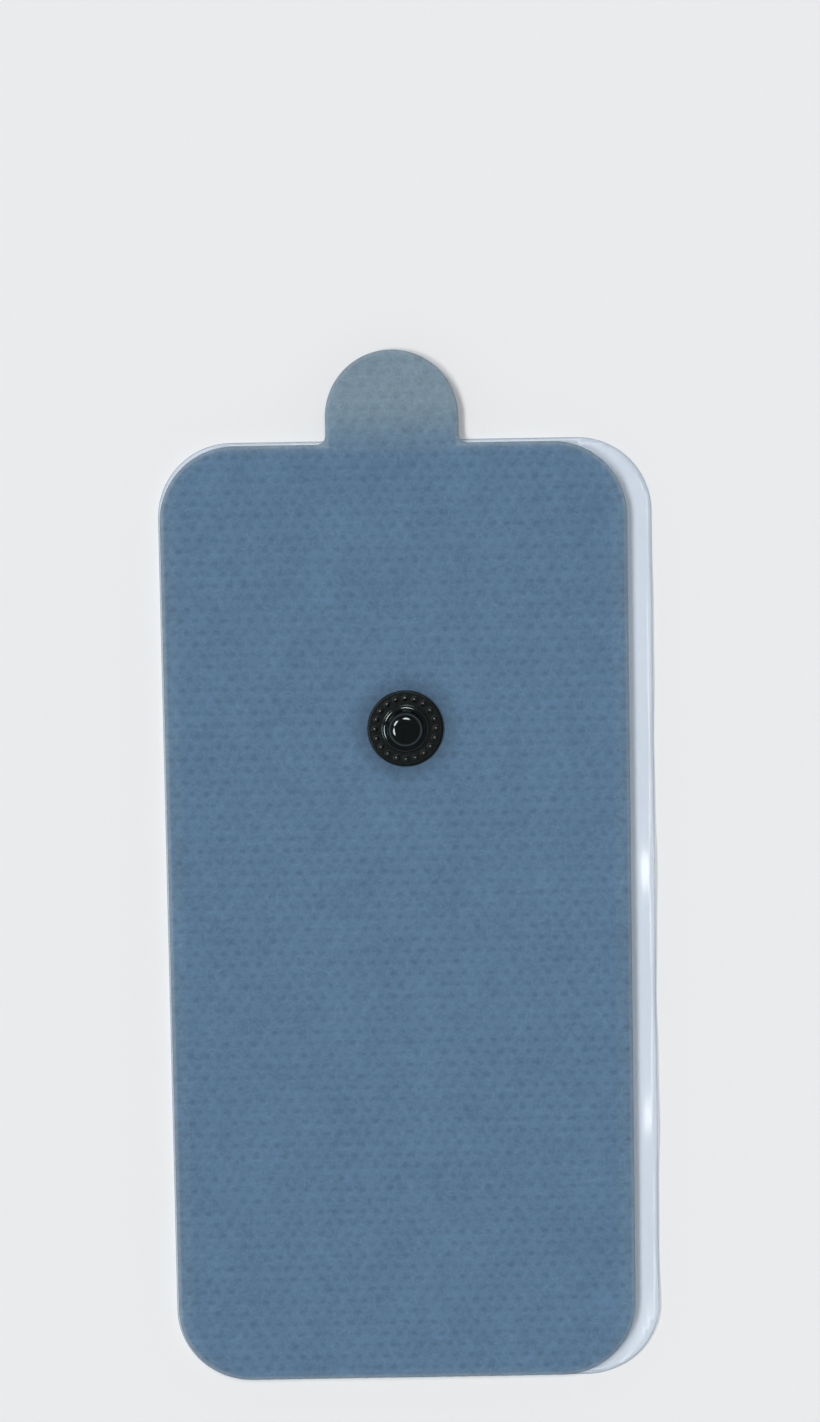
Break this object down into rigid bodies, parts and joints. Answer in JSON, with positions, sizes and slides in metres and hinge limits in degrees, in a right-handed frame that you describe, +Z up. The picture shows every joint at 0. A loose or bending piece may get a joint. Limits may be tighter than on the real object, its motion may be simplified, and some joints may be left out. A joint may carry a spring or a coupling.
{
  "type": "tens electrode pad",
  "caption": "Flat self-adhesive electrode pad with a fabric back, a round pull tab, a snap stud for the lead and a clear release liner.",
  "frame": {"origin": "centre of the pad's body on the underside of the release liner", "axes": "+Z up out of the fabric toward the snap stud, +Y along the body toward the pull tab, +X toward the liner's wide edge"},
  "size_m": [0.053, 0.1124, 0.004],
  "materials": {
    "clear_liner_film": "clear, glossy, slightly wavy film",
    "clear_gel": "clear, wet-looking, soft",
    "white_cover_film": "satin white film",
    "carbon_black_film": "matt black conductive film",
    "blue_nonwoven": "steel-blue point-bonded nonwoven fabric",
    "black_nickel_eyelet": "black nickel plate, satin",
    "black_nickel_stud": "black nickel plate, glossy"
  },
  "bodies": {
    "root": {"release_liner": "clear_liner_film", "hydrogel": "clear_gel", "eyelet_cover": "white_cover_film", "carbon_film": "carbon_black_film", "backing_cloth": "blue_nonwoven", "snap_eyelet": "black_nickel_eyelet", "snap_stud": "black_nickel_stud"}
  },
  "joints": []
}
